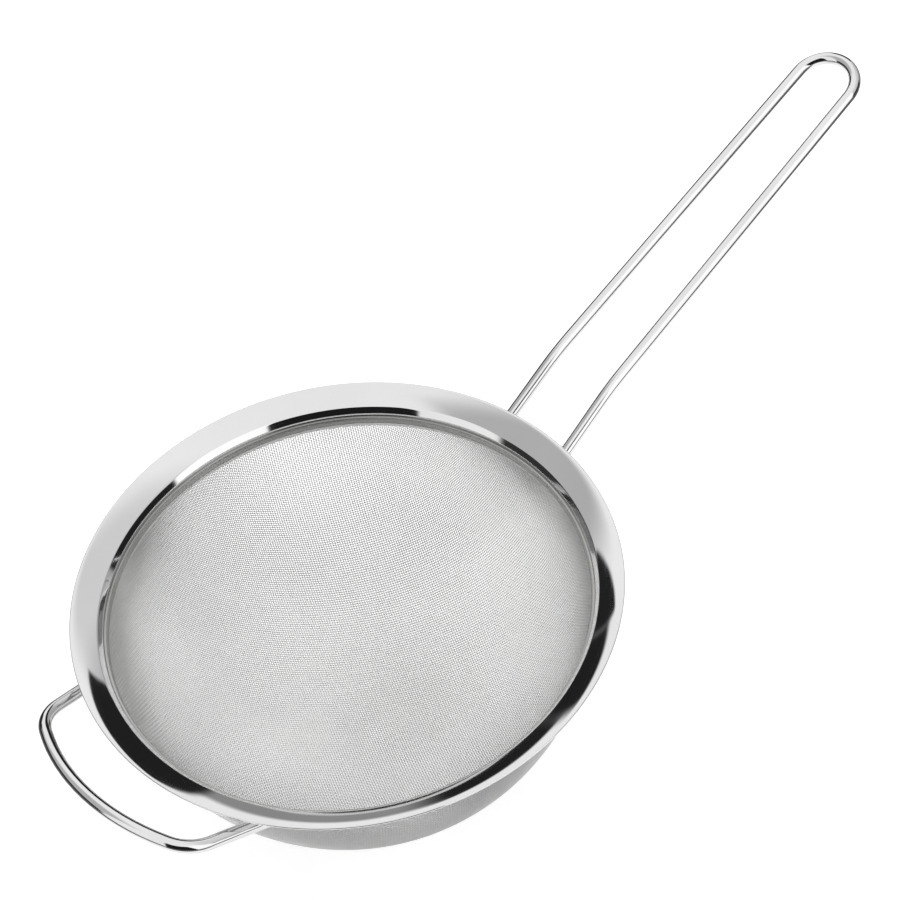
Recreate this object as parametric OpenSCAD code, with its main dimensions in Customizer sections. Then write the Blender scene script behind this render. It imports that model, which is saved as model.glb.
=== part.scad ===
// Stainless-steel mesh strainer: a flared rim ring, a deep-drawn woven-wire basket clamped inside the
// ring's collar, a long wire handle with a hanging loop, and a short wire rest loop opposite it.
// Millimetres. The origin is the centre of the circle along the rim's top edge. +Z points up, out of
// the bowl, and +X points along the handle.

/* [Rim] */
// Diameter over the rim's outer edge
rim_d = 200; // [180:1:215]
// Radial width of the flared flange
flange_w = 9.2; // [8:0.2:11]
// Height of the rim's outer edge above the fold at the flange's inner edge
flange_rise = 4.3; // [3.6:0.1:5]
// Slope of the flange beside the fold
flange_slope_in = 30; // [28:1:38]
// Slope of the flange at its outer edge
flange_slope_out = 12; // [4:1:18]
// Height of the polished neck between the fold and the collar
neck_h = 3; // [2.4:0.2:4]
// Inward lean of the neck
neck_lean = 28; // [18:1:34]
// Height of the collar that holds the cloth
collar_h = 5.3; // [4.6:0.1:8]
// Inward lean of the collar
collar_lean = 8; // [4:1:10]
// Thickness of the rim's sheet metal
sheet_t = 0.8; // [0.6:0.1:1]

/* [Mesh] */
// Depth of the woven bowl below the rim's top edge
bowl_depth = 93.4; // [70:0.2:100]
// Thickness of the woven cloth, which is two crossing wires
cloth_t = 0.56; // [0.4:0.02:0.6]
// Height of the band that clamps the cloth's edge inside the collar
band_h = 2.7; // [2.2:0.1:3]

/* [Handle] */
// Diameter of the wire in the handle and in the rest loop
wire_d = 4.8; // [4:0.1:5.2]
// Distance from the rim's edge to the centre of the hanging loop
handle_out = 166; // [100:1:200]
// Distance from the rim's edge to the bend in the legs
handle_bend_out = 25.7; // [20:0.5:50]
// Slope of the legs beside the rim
handle_low_rise = 28; // [20:1:34]
// Slope of the legs beyond the bend
handle_rise = 18.5; // [6:0.5:19]
// Spacing of the legs at the rim, centre to centre
leg_spacing = 28.5; // [27:0.5:40]
// Width of the hanging loop, centre to centre
loop_width = 24.4; // [18:0.2:25]

/* [Rest loop] */
// Distance from the rim's edge to the outermost point of the rest loop's centre line
rest_out = 18.9; // [14:0.5:30]
// Radius of the rest loop's long outer arc
rest_arc_r = 76; // [66:1:100]
// Angle that half of the outer arc turns through
rest_arc_half = 25; // [18:0.5:30]
// Radius of the two corner bends
rest_corner_r = 15; // [8:0.5:18]
// Slope at which the loop rises away from the rim
rest_rise = 20; // [10:1:24]
// Depth of the loop's centre line below the rim's top edge, where it passes the edge's circle
rest_drop = 4.1; // [3.6:0.1:6]
// Angle by which each leg spreads outwards towards the rim
rest_splay = 8.7; // [0:0.1:12]

/* [Hidden] */

$fn = 96;
FLANGE_STEPS = 14;
BOWL_STEPS = 40;
EDGE_STEPS = 6;

// Gap left between pieces that are pressed together
FIT = 0.05;
// Straight runs are this much thinner than bends and enter them by this much, so that they join cleanly
SEAM_STEP = 0.08;
SEAM_OVERLAP = 0.1;
// Extra wire that is trimmed off where a leg meets the collar
TRIM = 4;

RIM_R = rim_d / 2;
FOLD_R = RIM_R - flange_w;
FOLD_Z = -flange_rise;
NECK_END_Z = FOLD_Z - neck_h;
NECK_END_R = FOLD_R - neck_h * tan(neck_lean);
COLLAR_END_Z = NECK_END_Z - collar_h;
WIRE_R = wire_d / 2;

// The flange follows one curve whose end slopes meet at this point beyond the fold
FLANGE_KNEE_W = (flange_rise - flange_w * tan(flange_slope_out))
              / (tan(flange_slope_in) - tan(flange_slope_out));
FLANGE_KNEE = [FOLD_R + FLANGE_KNEE_W, FOLD_Z + FLANGE_KNEE_W * tan(flange_slope_in)];

// The band's lip covers the cloth's cut edge. Beside the cloth the band is at least this thick, and it
// swells to its rounded lower edge
BAND_TOP_Z = NECK_END_Z - 0.3;
BAND_LOW_Z = BAND_TOP_Z - band_h;
BAND_LIP = 0.5;
BAND_T = 0.3;
BAND_BULGE = 0.5;
CLOTH_TOP_Z = BAND_TOP_Z - BAND_LIP - FIT;

// The bowl is half an ellipse that starts level with the band's lower edge
BOWL_R = collar_r(BAND_LOW_Z) - FIT;
BOWL_DROP = bowl_depth + BAND_LOW_Z;

// Handle: where the legs pass just below the flange's lower edge, where they bend, and the centre of
// the hanging loop
HANDLE_EDGE_X = sqrt(pow(RIM_R + sheet_t * sin(flange_slope_out), 2) - pow(leg_spacing / 2, 2));
HANDLE_EDGE_Z = -sheet_t * cos(flange_slope_out) - (WIRE_R + 3 * FIT) / cos(handle_low_rise);
HANDLE_BEND_X = RIM_R + handle_bend_out;
HANDLE_BEND_Z = HANDLE_EDGE_Z + (HANDLE_BEND_X - HANDLE_EDGE_X) * tan(handle_low_rise);
HANDLE_LOOP_X = RIM_R + handle_out;
HANDLE_LOOP_Z = HANDLE_BEND_Z + (HANDLE_LOOP_X - HANDLE_BEND_X) * tan(handle_rise);
HANDLE_END_X = sqrt(pow(NECK_END_R + sheet_t, 2) - pow(leg_spacing / 2, 2));
LOOP_R = loop_width / 2;
LEG_BEND_R = 90;
LEG_BEND = handle_low_rise - handle_rise;
LEG_BEND_TANGENT = LEG_BEND_R * tan(LEG_BEND / 2);
UPPER_LEG = (HANDLE_LOOP_X - HANDLE_BEND_X) / cos(handle_rise) - LEG_BEND_TANGENT;
LOWER_LEG = (HANDLE_BEND_X - HANDLE_END_X) / cos(handle_low_rise) - LEG_BEND_TANGENT;
LEG_TAPER = asin((leg_spacing - loop_width) / 2 / (UPPER_LEG + LOWER_LEG));

// Rest loop, worked out along its own slope: the corner's far end, then the leg up to the collar
REST_LINK = 1;
REST_HEADING = 90 - rest_splay;
REST_CORNER = REST_HEADING - rest_arc_half;
REST_TOP_X = RIM_R + rest_out;
REST_TOP_Z = -rest_drop + rest_out * tan(rest_rise);
REST_LEG_START = [
    rest_arc_r * (1 - cos(rest_arc_half)) + REST_LINK * sin(rest_arc_half)
        + rest_corner_r * (cos(rest_arc_half) - cos(REST_HEADING)),
    rest_arc_r * sin(rest_arc_half) + REST_LINK * cos(rest_arc_half)
        + rest_corner_r * (sin(REST_HEADING) - sin(rest_arc_half))];
REST_LEG = first_crossing([REST_TOP_X - REST_LEG_START[0] * cos(rest_rise), REST_LEG_START[1]],
                          [-sin(REST_HEADING) * cos(rest_rise), cos(REST_HEADING)],
                          NECK_END_R + sheet_t);

WELD_R = 1.4 * WIRE_R;

// Distance along a line, from a point outside a circle about the origin, to where it enters the circle
function first_crossing(point, along, r) =
    let (b = -(point * along), a = along * along)
    (b - sqrt(b * b - a * (point * point - r * r))) / a;

// Radius of the collar's inner face at height z
function collar_r(z) = NECK_END_R + (z - NECK_END_Z) * tan(collar_lean);

// A point of the flange's curve, and the flange's curve offset downwards by t, from fold to outer edge
function flange_point(u) = (1 - u) * (1 - u) * [FOLD_R, FOLD_Z] + 2 * u * (1 - u) * FLANGE_KNEE
                         + u * u * [RIM_R, 0];
function flange_along(u) = (1 - u) * (FLANGE_KNEE - [FOLD_R, FOLD_Z]) + u * ([RIM_R, 0] - FLANGE_KNEE);
function flange_curve(t) =
    [for (i = [0 : FLANGE_STEPS]) let (u = i / FLANGE_STEPS, d = flange_along(u))
        flange_point(u) + t / norm(d) * [d[1], -d[0]]];

// Points down half an ellipse from the bowl's mouth to its lowest point, offset inwards by t
function bowl_curve(t) =
    [for (i = [0 : BOWL_STEPS]) let (u = 90 * i / BOWL_STEPS)
        [(BOWL_R - t) * cos(u), BAND_LOW_Z - (BOWL_DROP - t) * sin(u)]];

// Points of an arc about a centre, from angle a to angle b
function arc(centre, r, a, b, steps) =
    [for (i = [0 : steps]) let (t = a + (b - a) * i / steps) centre + r * [cos(t), sin(t)]];

function backwards(p) = [for (i = [len(p) - 1 : -1 : 0]) p[i]];

// A straight run of wire along +Z; what follows starts at its far end
module straight(length) {
    translate([0, 0, -SEAM_OVERLAP]) cylinder(d = wire_d - SEAM_STEP, h = length + 2 * SEAM_OVERLAP);
    translate([0, 0, length]) children();
}

// Carries what follows past a bend towards +X in wire that runs along +Z
module past_bend(radius, angle) {
    translate([radius, 0, 0]) rotate([0, angle, 0]) translate([-radius, 0, 0]) children();
}

// A bend towards +X, as wire that runs along +Z
module bend(radius, angle) {
    translate([radius, 0, 0])
        rotate([90, 0, 180])
            rotate_extrude(angle = angle) translate([radius, 0]) circle(d = wire_d);
    past_bend(radius, angle) children();
}

// Everything inside or above the rim's outer skin: wires and welds stop at it
module rim_space() {
    below = COLLAR_END_Z - 20;
    above = 20;
    rotate_extrude() polygon(concat(
        [[0, above], [0, below], [BOWL_R, below], [collar_r(COLLAR_END_Z) + sheet_t + FIT, COLLAR_END_Z],
         [NECK_END_R + sheet_t + FIT, NECK_END_Z]],
        flange_curve(sheet_t + FIT),
        [[RIM_R + 1, above]]));
}

module rim_ring() {
    color("gainsboro")
        rotate_extrude() polygon(concat(
            [[collar_r(COLLAR_END_Z), COLLAR_END_Z], [NECK_END_R, NECK_END_Z]],
            flange_curve(0),
            backwards(flange_curve(sheet_t)),
            [[NECK_END_R + sheet_t, NECK_END_Z], [collar_r(COLLAR_END_Z) + sheet_t, COLLAR_END_Z]]));
}

module mesh_clamp_band() {
    back = 2 * FIT + cloth_t;
    low_centre = [collar_r(BAND_LOW_Z) - back, BAND_LOW_Z + BAND_BULGE];
    color("darkgray")
        rotate_extrude() polygon(concat(
            [[collar_r(BAND_TOP_Z) - FIT, BAND_TOP_Z],
             [collar_r(CLOTH_TOP_Z + FIT) - FIT, CLOTH_TOP_Z + FIT],
             [collar_r(CLOTH_TOP_Z + FIT) - back, CLOTH_TOP_Z + FIT]],
            arc(low_centre, BAND_BULGE, -90, -180, EDGE_STEPS),
            [[collar_r(BAND_TOP_Z) - back - BAND_T, BAND_TOP_Z]]));
}

// Woven cloth as a closed shell: the drawn bowl, and the edge that runs up between collar and band
module mesh_basket() {
    edge = [collar_r(CLOTH_TOP_Z) - FIT, CLOTH_TOP_Z];
    color("silver")
        rotate_extrude() polygon(concat(
            [edge], bowl_curve(0), backwards(bowl_curve(cloth_t)), [edge - [cloth_t, 0]]));
}

// Places what follows at the centre of the hanging loop, on the slope of the upper legs
module at_hanging_loop() {
    translate([HANDLE_LOOP_X, 0, HANDLE_LOOP_Z]) rotate([0, -handle_rise, 0]) children();
}

// Places what follows where the upper leg on the +Y side leaves the hanging loop
module at_upper_leg() {
    at_hanging_loop() translate([LOOP_R, 0, 0]) rotate([90, 0, 180])
        past_bend(LOOP_R, 90 - LEG_TAPER) children();
}

// Places what follows where that leg meets the collar
module at_handle_end() {
    at_upper_leg() translate([0, 0, UPPER_LEG]) rotate([0, 0, -90])
        past_bend(LEG_BEND_R, LEG_BEND) translate([0, 0, LOWER_LEG]) children();
}

module handle_leg() {
    at_upper_leg() straight(UPPER_LEG)
        rotate([0, 0, -90]) bend(LEG_BEND_R, LEG_BEND) straight(LOWER_LEG + TRIM);
}

module hanging_loop() {
    at_hanging_loop() rotate([0, 0, LEG_TAPER - 90])
        rotate_extrude(angle = 180 - 2 * LEG_TAPER) translate([LOOP_R, 0]) circle(d = wire_d);
}

module handle_wire() {
    color("lightgray") difference() {
        union() {
            hanging_loop();
            handle_leg();
            mirror([0, 1, 0]) handle_leg();
        }
        rim_space();
    }
}

// Places what follows at the middle of the rest loop's outer arc, on the loop's slope
module at_rest_arc() {
    rotate([0, 0, 180]) translate([REST_TOP_X, 0, REST_TOP_Z]) rotate([0, -rest_rise, 0]) children();
}

// Places what follows at one end of the outer arc
module at_rest_link() {
    at_rest_arc() rotate([90, 0, 180]) past_bend(rest_arc_r, rest_arc_half) children();
}

// Places what follows where that leg meets the collar
module at_rest_end() {
    at_rest_link() translate([0, 0, REST_LINK])
        past_bend(rest_corner_r, REST_CORNER) translate([0, 0, REST_LEG]) children();
}

module rest_leg() {
    at_rest_link() straight(REST_LINK) bend(rest_corner_r, REST_CORNER) straight(REST_LEG + TRIM);
}

module rest_arc() {
    at_rest_arc() translate([-rest_arc_r, 0, 0]) rotate([0, 0, -rest_arc_half])
        rotate_extrude(angle = 2 * rest_arc_half) translate([rest_arc_r, 0]) circle(d = wire_d);
}

module rest_loop_wire() {
    color("lightgray") difference() {
        union() {
            rest_arc();
            rest_leg();
            mirror([0, 1, 0]) rest_leg();
        }
        rim_space();
    }
}

// A weld bead round wire that runs along +Z
module bead() {
    difference() {
        sphere(r = WELD_R);
        cylinder(d = wire_d, h = 4 * WELD_R, center = true);
    }
}

module handle_weld() {
    color("gray") difference() {
        at_handle_end() bead();
        rim_space();
    }
}

module rest_weld() {
    color("gray") difference() {
        at_rest_end() bead();
        rim_space();
    }
}

rim_ring();
mesh_clamp_band();
mesh_basket();
handle_wire();
rest_loop_wire();
handle_weld();  // handle_weld_left
mirror([0, 1, 0]) handle_weld();  // handle_weld_right
rest_weld();  // rest_weld_left
mirror([0, 1, 0]) rest_weld();  // rest_weld_right
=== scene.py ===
"""Looks for the mesh strainer: polished rim, satin clamp band, real woven wires, bent handle and rest loop.

Metres, in the row frame: the origin is the centre of the rim's top edge, +Z is up and +X is along the handle.
"""

import math

import bpy
import numpy as np
from mathutils import Matrix, Quaternion, Vector


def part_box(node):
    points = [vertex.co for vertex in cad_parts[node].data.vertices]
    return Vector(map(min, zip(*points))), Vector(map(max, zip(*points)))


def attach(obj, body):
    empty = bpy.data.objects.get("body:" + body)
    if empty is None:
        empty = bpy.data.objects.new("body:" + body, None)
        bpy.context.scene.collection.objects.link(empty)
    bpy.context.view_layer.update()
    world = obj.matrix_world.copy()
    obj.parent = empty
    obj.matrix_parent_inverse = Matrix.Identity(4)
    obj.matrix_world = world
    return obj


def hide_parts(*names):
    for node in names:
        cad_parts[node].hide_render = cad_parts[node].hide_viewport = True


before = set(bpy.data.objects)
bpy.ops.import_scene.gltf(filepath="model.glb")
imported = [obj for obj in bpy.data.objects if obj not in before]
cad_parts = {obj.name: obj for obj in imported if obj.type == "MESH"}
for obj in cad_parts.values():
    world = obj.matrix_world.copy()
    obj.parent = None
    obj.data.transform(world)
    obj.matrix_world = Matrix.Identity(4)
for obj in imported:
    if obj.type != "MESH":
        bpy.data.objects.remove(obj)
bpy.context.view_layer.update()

MM = 0.001

# ---------------------------------------------------------------- sizes, from the frame
RIM_LOW, RIM_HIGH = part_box("rim_ring")
BAND_LOW, BAND_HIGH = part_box("mesh_clamp_band")
BASKET_LOW, BASKET_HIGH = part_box("mesh_basket")
HANDLE_LOW, HANDLE_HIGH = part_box("handle_wire")
REST_LOW, REST_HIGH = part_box("rest_loop_wire")

# Rim: flange from the outer edge down to the fold, then the neck, then the collar behind the cloth
RIM_R = 100 * MM
SHEET = 0.8 * MM
FLANGE_W = 9.2 * MM
FLANGE_RISE = 4.3 * MM
FLANGE_SLOPE_IN = math.radians(30)
FLANGE_SLOPE_OUT = math.radians(12)
FOLD_R = RIM_R - FLANGE_W
FOLD_Z = RIM_HIGH.z - FLANGE_RISE
NECK_H = 3 * MM
NECK_LEAN = math.radians(28)
NECK_TOP_LEAN = math.radians(35)
COLLAR_LEAN = math.radians(8)
NECK_END_Z = FOLD_Z - NECK_H
NECK_END_R = FOLD_R - NECK_H * math.tan(NECK_LEAN)
COLLAR_END_Z = RIM_LOW.z

# Cloth: plain weave of round wire
MESH_WIRE = 0.28 * MM
MESH_PITCH = 0.95 * MM
BOWL_TOP = BAND_LOW.z
BOWL_R = BASKET_HIGH.y - MESH_WIRE
BOWL_DROP = BOWL_TOP - BASKET_LOW.z - MESH_WIRE
WEAVE_TURN = math.radians(65)
WEAVE_SKEW = math.radians(-14)

# Handle and rest loop: one bent wire each
WIRE_R = 2.4 * MM
HANDLE_RISE = math.radians(18.5)
HANDLE_LOW_RISE = math.radians(28)
HANDLE_BEND_OUT = 25.7 * MM
HANDLE_BEND_R = 90 * MM
HANDLE_LEGS_APART = 28.5 * MM
HANDLE_LOOP_R = 12.2 * MM
REST_RISE = math.radians(20)
REST_ARC_R = 76 * MM
REST_ARC_HALF = math.radians(25)
REST_CORNER_R = 15 * MM
REST_SPLAY = math.radians(8.7)


# ---------------------------------------------------------------- mesh helpers
def add_mesh(name, points, faces, material, sharp_deg=35):
    """A smooth-shaded mesh whose edges stay sharp where faces meet at more than sharp_deg."""
    mesh = bpy.data.meshes.new(name)
    mesh.from_pydata([tuple(p) for p in points], [], faces)
    mesh.polygons.foreach_set("use_smooth", [True] * len(mesh.polygons))
    mesh.set_sharp_from_angle(angle=math.radians(sharp_deg))
    mesh.materials.append(material)
    mesh.update()
    piece = bpy.data.objects.new(name, mesh)
    bpy.context.scene.collection.objects.link(piece)
    return piece


def add_piece(name, points, faces, material, node, sharp_deg=35):
    """A piece of the object that stands for a CAD node."""
    piece = add_mesh(name, points, faces, material, sharp_deg)
    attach(piece, "root")
    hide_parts(node)
    return piece


def lathe(profile, around):
    """Points and faces of a closed (radius, height) outline turned about the Z axis."""
    count = len(profile)
    points = []
    faces = []
    for i in range(around):
        turn = 2 * math.pi * i / around
        for radius, height in profile:
            points.append((radius * math.cos(turn), radius * math.sin(turn), height))
        for k in range(count):
            here = i * count + k
            beside = i * count + (k + 1) % count
            step = count if i < around - 1 else -i * count
            faces.append((here, here + step, beside + step, beside))
    return points, faces


def rounded(corners, radii, steps=10):
    """A closed outline whose corners are rounded, each by its own radius."""
    outline = []
    count = len(corners)
    for i in range(count):
        corner = Vector(corners[i])
        before = (Vector(corners[i - 1]) - corner).normalized()
        after = (Vector(corners[(i + 1) % count]) - corner).normalized()
        half = before.angle(after) / 2
        if radii[i] == 0 or half > math.radians(89.5):
            outline.append(tuple(corner))
            continue
        cut = radii[i] / math.tan(half)
        centre = corner + (before + after).normalized() * radii[i] / math.sin(half)
        first = (corner + before * cut - centre).normalized()
        last = (corner + after * cut - centre).normalized()
        for k in range(steps + 1):
            outline.append(tuple(centre + first.slerp(last, k / steps) * radii[i]))
    return outline


# ---------------------------------------------------------------- materials
class Nodes:
    """Short calls for building a node tree."""

    def __init__(self, tree):
        self.tree = tree
        tree.nodes.clear()

    def add(self, kind, values=(), **settings):
        node = self.tree.nodes.new(kind)
        for name, value in settings.items():
            setattr(node, name, value)
        for name, value in dict(values).items():
            if isinstance(value, bpy.types.NodeSocket):
                self.tree.links.new(value, node.inputs[name])
            else:
                node.inputs[name].default_value = value
        return node

    def maths(self, operation, *values):
        node = self.add("ShaderNodeMath", operation=operation)
        for i, value in enumerate(values):
            if isinstance(value, bpy.types.NodeSocket):
                self.tree.links.new(value, node.inputs[i])
            else:
                node.inputs[i].default_value = value
        return node.outputs[0]

    def ramp(self, value, low, high, to_low=0.0, to_high=1.0):
        """value, eased from to_low at low to to_high at high."""
        node = self.add("ShaderNodeMapRange", interpolation_type="SMOOTHSTEP")
        for name, given in zip(("Value", "From Min", "From Max", "To Min", "To Max"),
                               (value, low, high, to_low, to_high)):
            if isinstance(given, bpy.types.NodeSocket):
                self.tree.links.new(given, node.inputs[name])
            else:
                node.inputs[name].default_value = given
        return node.outputs[0]

    def noise(self, vector, scale, detail=3.0, roughness=0.5):
        values = {"Vector": vector, "Scale": scale, "Detail": detail, "Roughness": roughness}
        return self.add("ShaderNodeTexNoise", values).outputs["Fac"]

    def blend(self, factor, first, second):
        node = self.add("ShaderNodeMix", data_type="RGBA")
        node.inputs[0].default_value = 0.5
        self.tree.links.new(factor, node.inputs[0])
        for socket, value in ((node.inputs[6], first), (node.inputs[7], second)):
            if isinstance(value, bpy.types.NodeSocket):
                self.tree.links.new(value, socket)
            else:
                socket.default_value = (*value, 1)
        return node.outputs[2]


def new_material(name):
    material = bpy.data.materials.new(name)
    material.use_nodes = True
    return material, Nodes(material.node_tree)


def steel(name, tone, shade, roughness, spread, grain_scale):
    """Stainless steel: tone and shade are its lightest and darkest colours, and a fine grain varies the
    roughness by spread."""
    material, n = new_material(name)
    place = n.add("ShaderNodeTexCoord").outputs["Object"]
    cloud = n.noise(place, 26.0, 4.0)
    grain = n.noise(place, grain_scale, 5.0, 0.6)
    colour = n.blend(n.ramp(cloud, 0.3, 0.7), shade, tone)
    rough = n.maths("ADD", n.maths("MULTIPLY", n.ramp(grain, 0.3, 0.75), spread), roughness)
    shader = n.add("ShaderNodeBsdfPrincipled", {
        "Base Color": colour, "Metallic": 1.0, "Roughness": rough, "IOR": 2.5})
    output = n.add("ShaderNodeOutputMaterial")
    n.tree.links.new(shader.outputs[0], output.inputs[0])
    return material


def around_axis(n, place):
    """Coordinates that run round the Z axis, so that grain drawn along them follows a spun part."""
    parts = n.add("ShaderNodeSeparateXYZ", {"Vector": place})
    turn = n.maths("ARCTAN2", parts.outputs[1], parts.outputs[0])
    radius = n.add("ShaderNodeVectorMath", {"Vector": n.add("ShaderNodeCombineXYZ", {
        "X": parts.outputs[0], "Y": parts.outputs[1]}).outputs[0]}, operation="LENGTH").outputs["Value"]
    return n.add("ShaderNodeCombineXYZ", {"X": turn, "Y": radius, "Z": parts.outputs[2]}).outputs[0]


def spun_steel(name, tone, shade, roughness, spread, lines, bump, bump_depth):
    """Steel polished or crimped while it turned: its fine lines run round the rim."""
    material, n = new_material(name)
    place = n.add("ShaderNodeTexCoord").outputs["Object"]
    round_place = around_axis(n, place)
    stretched = n.add("ShaderNodeMapping", {"Vector": round_place, "Scale": (2, lines, lines)}).outputs[0]
    grain = n.noise(stretched, 1.0, 4.0, 0.65)
    cloud = n.noise(place, 18.0, 3.0)
    colour = n.blend(n.ramp(cloud, 0.3, 0.7), shade, tone)
    rough = n.maths("ADD", n.maths("MULTIPLY", n.ramp(grain, 0.35, 0.75), spread), roughness)
    normal = n.add("ShaderNodeBump", {"Strength": bump, "Distance": bump_depth * MM, "Height": grain})
    shader = n.add("ShaderNodeBsdfPrincipled", {
        "Base Color": colour, "Metallic": 1.0, "Roughness": rough, "IOR": 2.5,
        "Normal": normal.outputs[0]})
    output = n.add("ShaderNodeOutputMaterial")
    n.tree.links.new(shader.outputs[0], output.inputs[0])
    return material


def weld_steel(name):
    """A weld bead: rough, with straw and blue heat tints in patches."""
    material, n = new_material(name)
    place = n.add("ShaderNodeTexCoord").outputs["Object"]
    patches = n.noise(place, 500.0, 4.0)
    tint = n.blend(n.ramp(patches, 0.35, 0.55), (0.30, 0.26, 0.22), (0.52, 0.50, 0.47))
    tint = n.blend(n.ramp(patches, 0.58, 0.72), tint, (0.30, 0.32, 0.38))
    ripples = n.noise(place, 1800.0, 3.0)
    normal = n.add("ShaderNodeBump", {"Strength": 0.6, "Distance": 0.1 * MM, "Height": ripples})
    rough = n.ramp(ripples, 0.2, 0.8, 0.35, 0.6)
    shader = n.add("ShaderNodeBsdfPrincipled", {
        "Base Color": tint, "Metallic": 1.0, "Roughness": rough, "Normal": normal.outputs[0]})
    output = n.add("ShaderNodeOutputMaterial")
    n.tree.links.new(shader.outputs[0], output.inputs[0])
    return material


def floor_paper(name):
    """Matt white sheet with a barely visible grain, lit softly from behind like a light table."""
    material, n = new_material(name)
    place = n.add("ShaderNodeTexCoord").outputs["Object"]
    colour = n.blend(n.noise(place, 120.0, 3.0), (0.90, 0.90, 0.90), (0.94, 0.94, 0.94))
    shader = n.add("ShaderNodeBsdfPrincipled", {
        "Base Color": colour, "Roughness": 0.9, "Emission Color": (1, 1, 1, 1), "Emission Strength": 0.34})
    output = n.add("ShaderNodeOutputMaterial")
    n.tree.links.new(shader.outputs[0], output.inputs[0])
    return material


# ---------------------------------------------------------------- rim and clamp band
def collar_r(z):
    return NECK_END_R + (z - NECK_END_Z) * math.tan(COLLAR_LEAN)


def flange_curve(depth, steps=24):
    """Points of the flange's flared curve from fold to outer edge, offset downwards by depth."""
    fold = Vector((FOLD_R, FOLD_Z))
    edge = Vector((RIM_R, RIM_HIGH.z))
    run = FLANGE_RISE - FLANGE_W * math.tan(FLANGE_SLOPE_OUT)
    run /= math.tan(FLANGE_SLOPE_IN) - math.tan(FLANGE_SLOPE_OUT)
    knee = fold + Vector((run, run * math.tan(FLANGE_SLOPE_IN)))
    curve = []
    for i in range(steps + 1):
        u = i / steps
        point = fold * (1 - u) ** 2 + knee * 2 * u * (1 - u) + edge * u * u
        along = ((knee - fold) * (1 - u) + (edge - knee) * u).normalized()
        curve.append(point + Vector((along.y, -along.x)) * depth)
    return curve


def rim_outline():
    """The rim's cross-section: one sheet, with the fold and the edges rounded as pressing leaves them.
    The neck leans more above its knee than below it, between the same ends as a straight neck."""
    lean_gain = math.tan(NECK_TOP_LEAN) - math.tan(COLLAR_LEAN)
    knee_drop = NECK_H * (math.tan(NECK_LEAN) - math.tan(COLLAR_LEAN)) / lean_gain
    knee = Vector((FOLD_R - knee_drop * math.tan(NECK_TOP_LEAN), FOLD_Z - knee_drop))
    inner = [Vector((collar_r(COLLAR_END_Z), COLLAR_END_Z)), knee]
    outer = [Vector((NECK_END_R + SHEET, NECK_END_Z)),
             Vector((collar_r(COLLAR_END_Z) + SHEET, COLLAR_END_Z))]
    top = flange_curve(0)
    under = flange_curve(SHEET)
    under.reverse()
    fold = top[0]
    held = [knee.lerp(fold, 0.35), knee.lerp(fold, 0.65)]
    corners = inner + held + top + under + outer
    radii = [0.0] * len(corners)
    edge = len(inner) + len(held) + len(top) - 1
    radii[0] = 0.2 * MM
    radii[1] = 0.6 * MM
    radii[len(inner) + len(held)] = 1.6 * MM
    radii[edge] = 0.34 * MM
    radii[edge + 1] = 0.34 * MM
    radii[-1] = 0.2 * MM
    return rounded(corners, radii)


def make_rim(material):
    points, faces = lathe(rim_outline(), 360)
    return add_piece("rim", points, faces, material, "rim_ring")


def make_band(material):
    """The clamp band: a flat lip over the cloth's cut edge, then a wall that swells to its rounded foot."""
    back = 2 * MESH_WIRE + 0.1 * MM
    lip = 0.5 * MM
    wall = 0.3 * MM
    swell = 0.5 * MM
    top = BAND_HIGH.z
    low = BAND_LOW.z
    corners = [
        (collar_r(top) - 0.05 * MM, top),
        (collar_r(top) - back - wall, top),
        (collar_r(low) - back - swell, low + swell),
        (collar_r(low) - back - wall, low),
        (collar_r(low) - back, low),
        (collar_r(top - lip) - back, top - lip),
        (collar_r(top - lip) - 0.05 * MM, top - lip)]
    radii = [0.05 * MM, 0.12 * MM, 0.25 * MM, 0.12 * MM, 0.05 * MM, 0, 0]
    points, faces = lathe(rounded(corners, radii, 4), 360)
    return add_piece("clamp_band", points, faces, material, "mesh_clamp_band")


# ---------------------------------------------------------------- wires
def bent_wire(start, heading, moves):
    """Points along a wire that starts straight on. A move is (length,) or (radius, angle, towards)."""
    path = [start.copy()]
    here = start.copy()
    heading = heading.normalized()
    for move in moves:
        if len(move) == 1:
            here = here + heading * move[0]
            path.append(here.copy())
            continue
        radius, angle, towards = move
        axis = heading.cross(towards).normalized()
        centre = here + axis.cross(heading) * radius
        steps = max(4, round(math.degrees(angle) / 3))
        for i in range(1, steps + 1):
            turn = Quaternion(axis, angle * i / steps)
            path.append(centre + turn @ (here - centre))
        here = path[-1].copy()
        heading = Quaternion(axis, angle) @ heading
    return path


def mirrored(path):
    """The whole path whose first half starts on the XZ plane."""
    other = [Vector((p.x, -p.y, p.z)) for p in reversed(path[1:])]
    return other + path


def cope(point, along):
    """Slides a point along the wire to the outside of the rim's neck or collar."""
    for _ in range(30):
        reach = math.hypot(point.x, point.y)
        slope = COLLAR_LEAN if point.z < NECK_END_Z else NECK_LEAN
        wall = NECK_END_R + SHEET + 0.05 * MM + (point.z - NECK_END_Z) * math.tan(slope)
        outwards = (along.x * point.x + along.y * point.y) / reach - along.z * math.tan(slope)
        point = point + along * ((wall - reach) / outwards)
    return point


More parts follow.
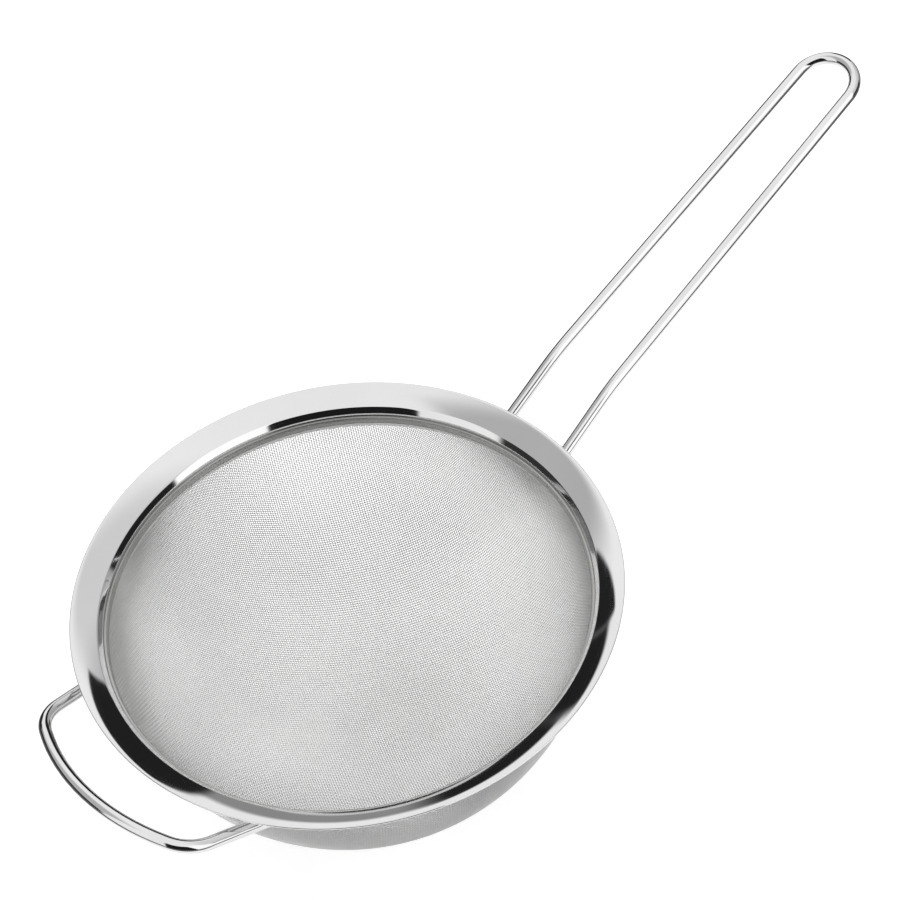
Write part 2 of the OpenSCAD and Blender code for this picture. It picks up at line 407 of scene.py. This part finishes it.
def sweep(path, radius, around=32):
    """Points and faces of a round wire along a path, coped to the rim at both ends."""
    count = len(path)
    along = []
    for i in range(count):
        before = path[max(i - 1, 0)]
        after = path[min(i + 1, count - 1)]
        along.append((after - before).normalized())
    side = along[0].orthogonal().normalized()
    points = []
    faces = []
    for i in range(count):
        side = (side - along[i] * side.dot(along[i])).normalized()
        across = along[i].cross(side)
        for k in range(around):
            turn = 2 * math.pi * k / around
            rim_point = path[i] + (side * math.cos(turn) + across * math.sin(turn)) * radius
            if i == 0 or i == count - 1:
                rim_point = cope(rim_point, along[i])
            points.append(rim_point)
        if i < count - 1:
            for k in range(around):
                here = i * around + k
                beside = i * around + (k + 1) % around
                faces.append((here, beside, beside + around, here + around))
    faces.append(tuple(range(around - 1, -1, -1)))
    faces.append(tuple(range((count - 1) * around, count * around)))
    return points, faces


def handle_path():
    """From the tip of the hanging loop down one leg, past its bend, to the rim; then mirrored."""
    outwards = Vector((math.cos(HANDLE_RISE), 0, math.sin(HANDLE_RISE)))
    loop_x = HANDLE_HIGH.x - WIRE_R - HANDLE_LOOP_R * outwards.x
    loop_z = HANDLE_HIGH.z - WIRE_R - HANDLE_LOOP_R * outwards.z
    bend_x = RIM_R + HANDLE_BEND_OUT
    end_x = math.sqrt((NECK_END_R + SHEET) ** 2 - (HANDLE_LEGS_APART / 2) ** 2)
    bend = HANDLE_LOW_RISE - HANDLE_RISE
    tangent = HANDLE_BEND_R * math.tan(bend / 2)
    upper = (loop_x - bend_x) / math.cos(HANDLE_RISE) - tangent
    lower = (bend_x - end_x) / math.cos(HANDLE_LOW_RISE) - tangent
    taper = math.asin((HANDLE_LEGS_APART / 2 - HANDLE_LOOP_R) / (upper + lower))
    tip = Vector((loop_x, 0, loop_z)) + outwards * HANDLE_LOOP_R
    down = Vector((outwards.z, 0, -outwards.x))
    moves = [(HANDLE_LOOP_R, math.pi / 2 - taper, -outwards), (upper,),
             (HANDLE_BEND_R, bend, down), (lower,)]
    return mirrored(bent_wire(tip, Vector((0, 1, 0)), moves))


def rest_path():
    """From the middle of the rest loop's outer arc round one corner to the rim; then mirrored."""
    inwards = Vector((math.cos(REST_RISE), 0, -math.sin(REST_RISE)))
    start = Vector((REST_LOW.x + WIRE_R, 0, REST_HIGH.z - WIRE_R))
    corner = math.pi / 2 - REST_SPLAY - REST_ARC_HALF
    moves = [(REST_ARC_R, REST_ARC_HALF, inwards), (1 * MM,), (REST_CORNER_R, corner, inwards),
             (28 * MM,)]
    return mirrored(bent_wire(start, Vector((0, 1, 0)), moves))


# ---------------------------------------------------------------- woven basket
def drawn_net(pitch, reach):
    """Points on a unit sphere where the wires of a cloth drawn over it cross, as an array [warp, weft, xyz].
    The wires keep their spacing and shear past each other: each new crossing is the last one mirrored in
    the plane through its two neighbours. Crossings past the bowl's mouth are left as NaN."""
    steps = int(reach / pitch) + 2
    along = np.arange(-steps, steps + 1) * pitch
    net = np.full((len(along), len(along), 3), np.nan)
    for wire, azimuth in ((net[:, steps], WEAVE_TURN), (net[steps], WEAVE_TURN + math.pi / 2 + WEAVE_SKEW)):
        wire[:, 0] = np.sin(along) * math.cos(azimuth)
        wire[:, 1] = np.sin(along) * math.sin(azimuth)
        wire[:, 2] = -np.cos(along)
    for u in (1, -1):
        for v in (1, -1):
            for diagonal in range(2, 2 * steps + 1):
                i = np.arange(max(1, diagonal - steps), min(steps, diagonal - 1) + 1)
                j = diagonal - i
                one = net[steps + u * (i - 1), steps + v * j]
                two = net[steps + u * i, steps + v * (j - 1)]
                last = net[steps + u * (i - 1), steps + v * (j - 1)]
                normal = np.cross(one, two)
                normal /= np.maximum(np.linalg.norm(normal, axis=1, keepdims=True), 1e-12)
                new = last - 2 * (last * normal).sum(1, keepdims=True) * normal
                new[new[:, 2] > 0.08] = np.nan
                net[steps + u * i, steps + v * j] = new
    return net


def woven_wires(net, along_first):
    """Each wire of one direction as (points, normals), riding over and under the wires that it crosses."""
    top = (BAND_HIGH.z - 0.9 * MM - BOWL_TOP) / BOWL_DROP
    size = np.array([BOWL_R, BOWL_R, BOWL_DROP])
    count = len(net)
    wires = []
    for j in range(count):
        line = net[:, j] if along_first else net[j]
        inside = np.flatnonzero(line[:, 2] <= top)
        if len(inside) < 3:
            continue
        sphere = line[inside]
        points = sphere * size + np.array([0, 0, BOWL_TOP])
        normals = sphere / size
        normals /= np.linalg.norm(normals, axis=1, keepdims=True)
        over = np.where((inside + j) % 2 == 0, 1.0, -1.0) * (1 if along_first else -1)
        wires.append((points + normals * over[:, None] * MESH_WIRE / 2, normals))
    return wires


def wire_bundle(wires, sides=4):
    """Points and faces of many thin wires at once."""
    radius = MESH_WIRE / 2 * 1.08
    points = []
    faces = []
    base = 0
    for centre, normals in wires:
        along = np.gradient(centre, axis=0)
        along /= np.linalg.norm(along, axis=1, keepdims=True)
        across = np.cross(along, normals)
        across /= np.linalg.norm(across, axis=1, keepdims=True)
        out = np.cross(across, along)
        turn = 2 * np.pi * np.arange(sides) / sides
        ring = centre[:, None] + radius * (across[:, None] * np.cos(turn)[None, :, None]
                                           + out[:, None] * np.sin(turn)[None, :, None])
        points.append(ring.reshape(-1, 3))
        here = base + np.arange(len(centre) - 1)[:, None] * sides + np.arange(sides)[None]
        beside = base + np.arange(len(centre) - 1)[:, None] * sides + (np.arange(sides)[None] + 1) % sides
        faces.append(np.stack([here, beside, beside + sides, here + sides], 2).reshape(-1, 4))
        last = base + (len(centre) - 1) * sides
        around = np.arange(sides)
        faces.append(np.array([base + around[::-1], last + around]))
        base += len(centre) * sides
    return np.concatenate(points), np.concatenate(faces)


def make_basket(materials):
    """The cloth's wires, as three pieces for each direction."""
    net = drawn_net(MESH_PITCH / BOWL_R, math.radians(94))
    for direction, along_first in (("warp", True), ("weft", False)):
        wires = woven_wires(net, along_first)
        for part in range(3):
            share = wires[len(wires) * part // 3:len(wires) * (part + 1) // 3]
            points, faces = wire_bundle(share)
            name = f"mesh_{direction}_{part + 1}"
            mesh = bpy.data.meshes.new(name)
            mesh.vertices.add(len(points))
            mesh.vertices.foreach_set("co", points.astype(np.float32).ravel())
            mesh.loops.add(faces.size)
            mesh.loops.foreach_set("vertex_index", faces.astype(np.int32).ravel())
            mesh.polygons.add(len(faces))
            mesh.polygons.foreach_set("loop_start", np.arange(0, faces.size, 4, dtype=np.int32))
            mesh.polygons.foreach_set("use_smooth", np.ones(len(faces), bool))
            mesh.update(calc_edges=True)
            mesh.materials.append(materials[direction])
            piece = bpy.data.objects.new(name, mesh)
            bpy.context.scene.collection.objects.link(piece)
            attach(piece, "root")
            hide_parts("mesh_basket")


# ---------------------------------------------------------------- studio
# The viewing direction, and where the rim's centre lies in the picture, as shifts of the camera sideways
VIEW_AZIMUTH = math.radians(-38.49)
VIEW_ELEVATION = math.radians(48.61)
VIEW_ROLL = math.radians(8.44)
VIEW_DISTANCE = 0.8099
VIEW_SHIFT_RIGHT = 37.55 * MM
VIEW_SHIFT_UP = 49.22 * MM
VIEW_LENS = 90.4

# Studio: the ceiling's brightness, then panels laid over it in order, in degrees and brightness
CEILING_LEVEL = 1.20
SHEET_HALF = (0.30, 0.42)
STUDIO_PANELS = (
    # left, right, lowest, highest, edge softness, brightness
    (-30, 57, -90, 60, 8.0, 0.92),     # grey wall to the right
    (-30, 62, -90, 28, 9.0, 0.53),     # its darker foot
    (137, 200, -90, 66, 8.0, 0.61),    # darker grey wall to the left
    (60, 135, -90, 11, 3.0, 0.36),     # the room's far end, straight ahead
    (57, 80, -8, 31, 0.8, 0.02),       # black card, far right
    (122, 138, -12, 28, 1.0, 0.02),    # black card, far left
    (109, 123, -12, 23, 2.0, 0.02),    # its middle step
    (97, 110, -12, 14, 2.0, 0.02),     # its lower step
    (135, 198, -90, 19, 1.5, 0.04),    # black card, left
    (198, 231, -90, 55, 3.0, 1.20),    # white panel, front left
    (231, 292, -90, 50, 1.0, 0.015),   # black card round the camera
    (292, 334, -90, 60, 1.0, 1.50),    # white panel, front right
    (334, 375, -90, 18, 1.5, 0.02),    # black card, near right
    (0, 360, -90, -3, 4.0, 0.16),      # the dim room below the table's edge
)


def make_camera():
    turn = Matrix.Rotation(VIEW_AZIMUTH, 3, "Z")
    forward = turn @ Vector((0, math.cos(VIEW_ELEVATION), -math.sin(VIEW_ELEVATION)))
    right = turn @ Vector((1, 0, 0))
    up = right.cross(forward)
    tilted_right = right * math.cos(VIEW_ROLL) - up * math.sin(VIEW_ROLL)
    tilted_up = right * math.sin(VIEW_ROLL) + up * math.cos(VIEW_ROLL)
    place = tilted_right * VIEW_SHIFT_RIGHT + tilted_up * VIEW_SHIFT_UP - forward * VIEW_DISTANCE
    data = bpy.data.cameras.new("camera")
    data.lens = VIEW_LENS
    data.sensor_width = 36
    data.clip_start = 0.01
    data.clip_end = 100
    camera = bpy.data.objects.new("camera", data)
    axes = Matrix((tilted_right, tilted_up, -forward)).transposed()
    camera.matrix_world = Matrix.Translation(place) @ axes.to_4x4()
    bpy.context.scene.collection.objects.link(camera)
    bpy.context.scene.camera = camera


def studio_panel(n, azimuth, elevation, left, right, low, high, soft):
    """1 inside a soft-edged panel of the surroundings and 0 outside it. Angles in degrees."""
    turned = n.maths("SUBTRACT", azimuth, (left + right) / 2)
    off = n.maths("ABSOLUTE", n.maths("WRAP", turned, 180.0, -180.0))
    half = abs(left - right) / 2
    beside = n.ramp(off, half - soft, half + soft, 1.0, 0.0)
    above = n.ramp(elevation, low - soft, low + soft)
    below = n.ramp(elevation, high - soft, high + soft, 1.0, 0.0)
    return n.maths("MULTIPLY", n.maths("MULTIPLY", beside, above), below)


def make_studio_light():
    """Soft light from all round: a bright ceiling, white and grey side panels and black cards.
    Azimuths are measured as the camera sees them: 90 is straight ahead, 0 to the right, 270 behind it."""
    world = bpy.data.worlds.new("studio")
    bpy.context.scene.world = world
    world.use_nodes = True
    n = Nodes(world.node_tree)
    direction = n.add("ShaderNodeTexCoord").outputs["Generated"]
    parts = n.add("ShaderNodeSeparateXYZ", {"Vector": direction})
    azimuth = n.maths("DEGREES", n.maths("ARCTAN2", parts.outputs[1], parts.outputs[0]))
    azimuth = n.maths("SUBTRACT", azimuth, math.degrees(VIEW_AZIMUTH))
    elevation = n.maths("DEGREES", n.maths("ARCSINE", parts.outputs[2]))
    level = CEILING_LEVEL
    for left, right, low, high, soft, brightness in STUDIO_PANELS:
        inside = studio_panel(n, azimuth, elevation, left, right, low, high, soft)
        change = n.maths("MULTIPLY", inside, n.maths("SUBTRACT", brightness, level))
        level = n.maths("ADD", level, change)
    seen = n.add("ShaderNodeLightPath").outputs["Is Camera Ray"]
    level = n.maths("ADD", n.maths("MULTIPLY", level, n.maths("SUBTRACT", 1.0, seen)), seen)
    background = n.add("ShaderNodeBackground", {"Color": (1, 1, 1, 1), "Strength": level})
    output = n.add("ShaderNodeOutputWorld")
    n.tree.links.new(background.outputs[0], output.inputs[0])


def make_overhead_light():
    """A large soft box over the strainer that whitens the floor and doesn't show in the polished steel."""
    data = bpy.data.lights.new("overhead_softbox", "AREA")
    data.shape = "DISK"
    data.size = 1.6
    data.energy = 8
    light = bpy.data.objects.new("overhead_softbox", data)
    light.location = (0.1, 0.05, 1.7)
    light.visible_glossy = False
    light.visible_camera = False
    bpy.context.scene.collection.objects.link(light)


def make_floor():
    """A sheet of white that fills the picture, with the room beyond its edges."""
    camera = bpy.context.scene.camera.matrix_world
    ahead = -camera.col[2].xyz
    height = BASKET_LOW.z
    middle = camera.translation + ahead * (height - camera.translation.z) / ahead.z
    turn = Matrix.Rotation(VIEW_AZIMUTH, 3, "Z")
    corners = []
    for right, forward in ((-1, -1), (1, -1), (1, 1), (-1, 1)):
        corners.append(middle + turn @ Vector((right * SHEET_HALF[0], forward * SHEET_HALF[1], 0)))
    floor = add_mesh("floor", corners, [(0, 1, 2, 3)], floor_paper("floor_paper"))


# ---------------------------------------------------------------- the whole scene
def make_object():
    polished = spun_steel("polished_rim", (0.68, 0.68, 0.68), (0.64, 0.64, 0.64), 0.045, 0.03, 900,
                          0.02, 0.02)
    satin = spun_steel("satin_band", (0.38, 0.38, 0.37), (0.29, 0.29, 0.28), 0.20, 0.12, 1600, 0.25, 0.05)
    handle = steel("polished_handle_wire", (0.69, 0.69, 0.69), (0.63, 0.63, 0.63), 0.06, 0.05, 700)
    rest = steel("polished_rest_wire", (0.69, 0.69, 0.69), (0.63, 0.63, 0.63), 0.06, 0.05, 700)
    cloth = {
        "warp": steel("warp_wires", (0.70, 0.70, 0.69), (0.60, 0.60, 0.59), 0.28, 0.1, 400),
        "weft": steel("weft_wires", (0.68, 0.68, 0.68), (0.58, 0.58, 0.58), 0.30, 0.1, 400)}
    make_rim(polished)
    make_band(satin)
    make_basket(cloth)
    points, faces = sweep(handle_path(), WIRE_R)
    add_piece("handle", points, faces, handle, "handle_wire")
    points, faces = sweep(rest_path(), WIRE_R)
    add_piece("rest_loop", points, faces, rest, "rest_loop_wire")
    weld = weld_steel("weld_heat_tint")
    for side in ("handle_weld_left", "handle_weld_right", "rest_weld_left", "rest_weld_right"):
        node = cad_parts[side]
        for material_slot in node.material_slots:
            material_slot.material = weld


bpy.context.scene.view_settings.view_transform = "Standard"
make_camera()
make_studio_light()
make_overhead_light()
make_floor()
make_object()
